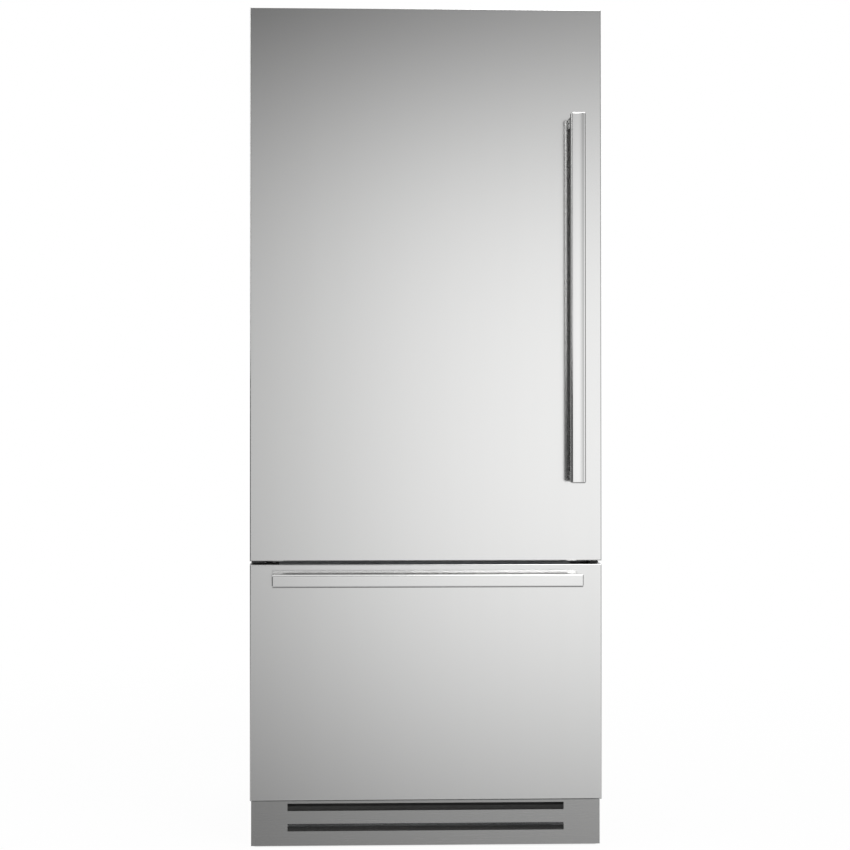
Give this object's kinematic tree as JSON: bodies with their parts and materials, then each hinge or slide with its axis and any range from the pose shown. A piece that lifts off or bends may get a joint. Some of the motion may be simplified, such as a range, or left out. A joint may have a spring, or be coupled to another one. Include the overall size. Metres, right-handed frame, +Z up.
{
  "type": "built-in refrigerator",
  "caption": "Tall built-in refrigerator with a side-hinged steel door, a pull-out freezer drawer below, bar handles and a slotted plinth.",
  "frame": {"origin": "on the floor, in the middle of the unit's width and of its depth with handles", "axes": "+X to the right seen from the front, -Y towards the person in front, +Z up"},
  "size_m": [0.896, 0.695, 2.134],
  "materials": {
    "brushed_steel": "satin",
    "handle_steel": "satin",
    "casing_steel": "satin",
    "galvanised_steel": "satin",
    "zinc_steel": "satin",
    "hinge_steel": "satin",
    "black_steel": "satin",
    "white_steel": "satin",
    "trim_steel": "satin",
    "foam": "matte",
    "white_liner": "gloss",
    "white_plastic": "satin",
    "grey_plastic": "matte",
    "black_plastic": "matte",
    "clear_plastic": "gloss",
    "light_diffuser": "matte",
    "shelf_glass": "polished",
    "seal_rubber": "matte",
    "foot_rubber": "matte",
    "fin_aluminium": "satin"
  },
  "bodies": {
    "cabinet": {"cabinet_shell": "casing_steel", "insulation": "foam", "fridge_liner": "white_liner", "freezer_liner": "white_liner", "mullion": "casing_steel", "back_panel": "galvanised_steel", "rear_cover": "galvanised_steel", "base_frame": "black_steel", "levelling_legs": "zinc_steel", "plinth": "brushed_steel", "fixing_rail": "galvanised_steel", "top_hinge": "hinge_steel", "lower_hinge": "hinge_steel", "hinge_screws": "zinc_steel", "gap_cap": "black_plastic", "control_panel": "white_plastic", "light_bars": "light_diffuser", "air_duct": "white_plastic", "shelf_tracks": "white_steel", "lower_shelf": "trim_steel", "middle_shelf": "trim_steel", "upper_shelf": "trim_steel", "shelf_panes": "shelf_glass", "crisper_frame": "white_plastic", "crisper_cover": "shelf_glass", "outer_runners": "zinc_steel", "evaporator": "fin_aluminium", "evaporator_cover": "white_plastic", "compressor": "black_steel", "compressor_feet": "foot_rubber", "condenser": "black_steel", "fan_housing": "grey_plastic", "drip_tray": "black_plastic"},
    "door": {"door_skin": "brushed_steel", "door_core": "foam", "door_liner": "white_liner", "door_seal": "seal_rubber", "hinge_bearings": "black_plastic", "door_handle": "handle_steel", "door_handle_posts": "handle_steel", "lower_bin": "clear_plastic", "middle_bin": "clear_plastic", "upper_bin": "clear_plastic"},
    "dairy_lid": {"dairy_lid": "clear_plastic"},
    "drawer": {"drawer_skin": "brushed_steel", "drawer_core": "foam", "drawer_liner": "white_liner", "drawer_seal": "seal_rubber", "drawer_handle": "handle_steel", "drawer_handle_posts": "handle_steel", "inner_runners": "zinc_steel", "freezer_basket": "clear_plastic"},
    "runners": {"middle_runners": "zinc_steel"},
    "tray": {"freezer_tray": "clear_plastic"},
    "left_crisper": {"left_crisper": "clear_plastic"},
    "right_crisper": {"right_crisper": "clear_plastic"},
    "freezer_fan": {"freezer_fan": "grey_plastic"},
    "condenser_fan": {"condenser_fan": "black_plastic"},
    "left_roller": {"left_roller": "grey_plastic"},
    "right_roller": {"right_roller": "grey_plastic"}
  },
  "joints": [
    {"name": "door_hinge", "type": "hinge", "parent": "cabinet", "child": "door", "pos_m": [-0.432, -0.2485, 1.4], "axis": [0, 0, -1], "range_deg": [0, 110]},
    {"name": "dairy_lid_hinge", "type": "hinge", "parent": "door", "child": "dairy_lid", "pos_m": [0, -0.2095, 1.943], "axis": [1, 0, 0], "range_deg": [0, 95]},
    {"name": "drawer_slide", "type": "slide", "parent": "cabinet", "child": "drawer", "axis": [0, -1, 0], "range_m": [0, 0.4]},
    {"name": "middle_runner_slide", "type": "slide", "parent": "cabinet", "child": "runners", "axis": [0, -1, 0], "range_m": [0, 0.2]},
    {"name": "tray_slide", "type": "slide", "parent": "drawer", "child": "tray", "axis": [0, -1, 0], "range_m": [0, 0.19]},
    {"name": "left_crisper_slide", "type": "slide", "parent": "cabinet", "child": "left_crisper", "axis": [0, -1, 0], "range_m": [0, 0.27]},
    {"name": "right_crisper_slide", "type": "slide", "parent": "cabinet", "child": "right_crisper", "axis": [0, -1, 0], "range_m": [0, 0.27]},
    {"name": "freezer_fan_spin", "type": "hinge", "parent": "cabinet", "child": "freezer_fan", "pos_m": [0, 0.2325, 0.61875], "axis": [0, 1, 0], "continuous": true},
    {"name": "condenser_fan_spin", "type": "hinge", "parent": "cabinet", "child": "condenser_fan", "pos_m": [-0.03, 0.2275, 0.139], "axis": [1, 0, 0], "continuous": true},
    {"name": "left_roller_spin", "type": "hinge", "parent": "cabinet", "child": "left_roller", "pos_m": [-0.4238, 0.2875, 0.022], "axis": [1, 0, 0], "continuous": true},
    {"name": "right_roller_spin", "type": "hinge", "parent": "cabinet", "child": "right_roller", "pos_m": [0.4238, 0.2875, 0.022], "axis": [1, 0, 0], "continuous": true}
  ],
  "couplings": [
    {"joint": "middle_runner_slide", "follows": "drawer_slide", "ratio": 0.5},
    {"joint": "left_crisper_slide", "follows": "door_hinge", "m_per_rad": 0.14},
    {"joint": "right_crisper_slide", "follows": "door_hinge", "m_per_rad": 0.14}
  ]
}
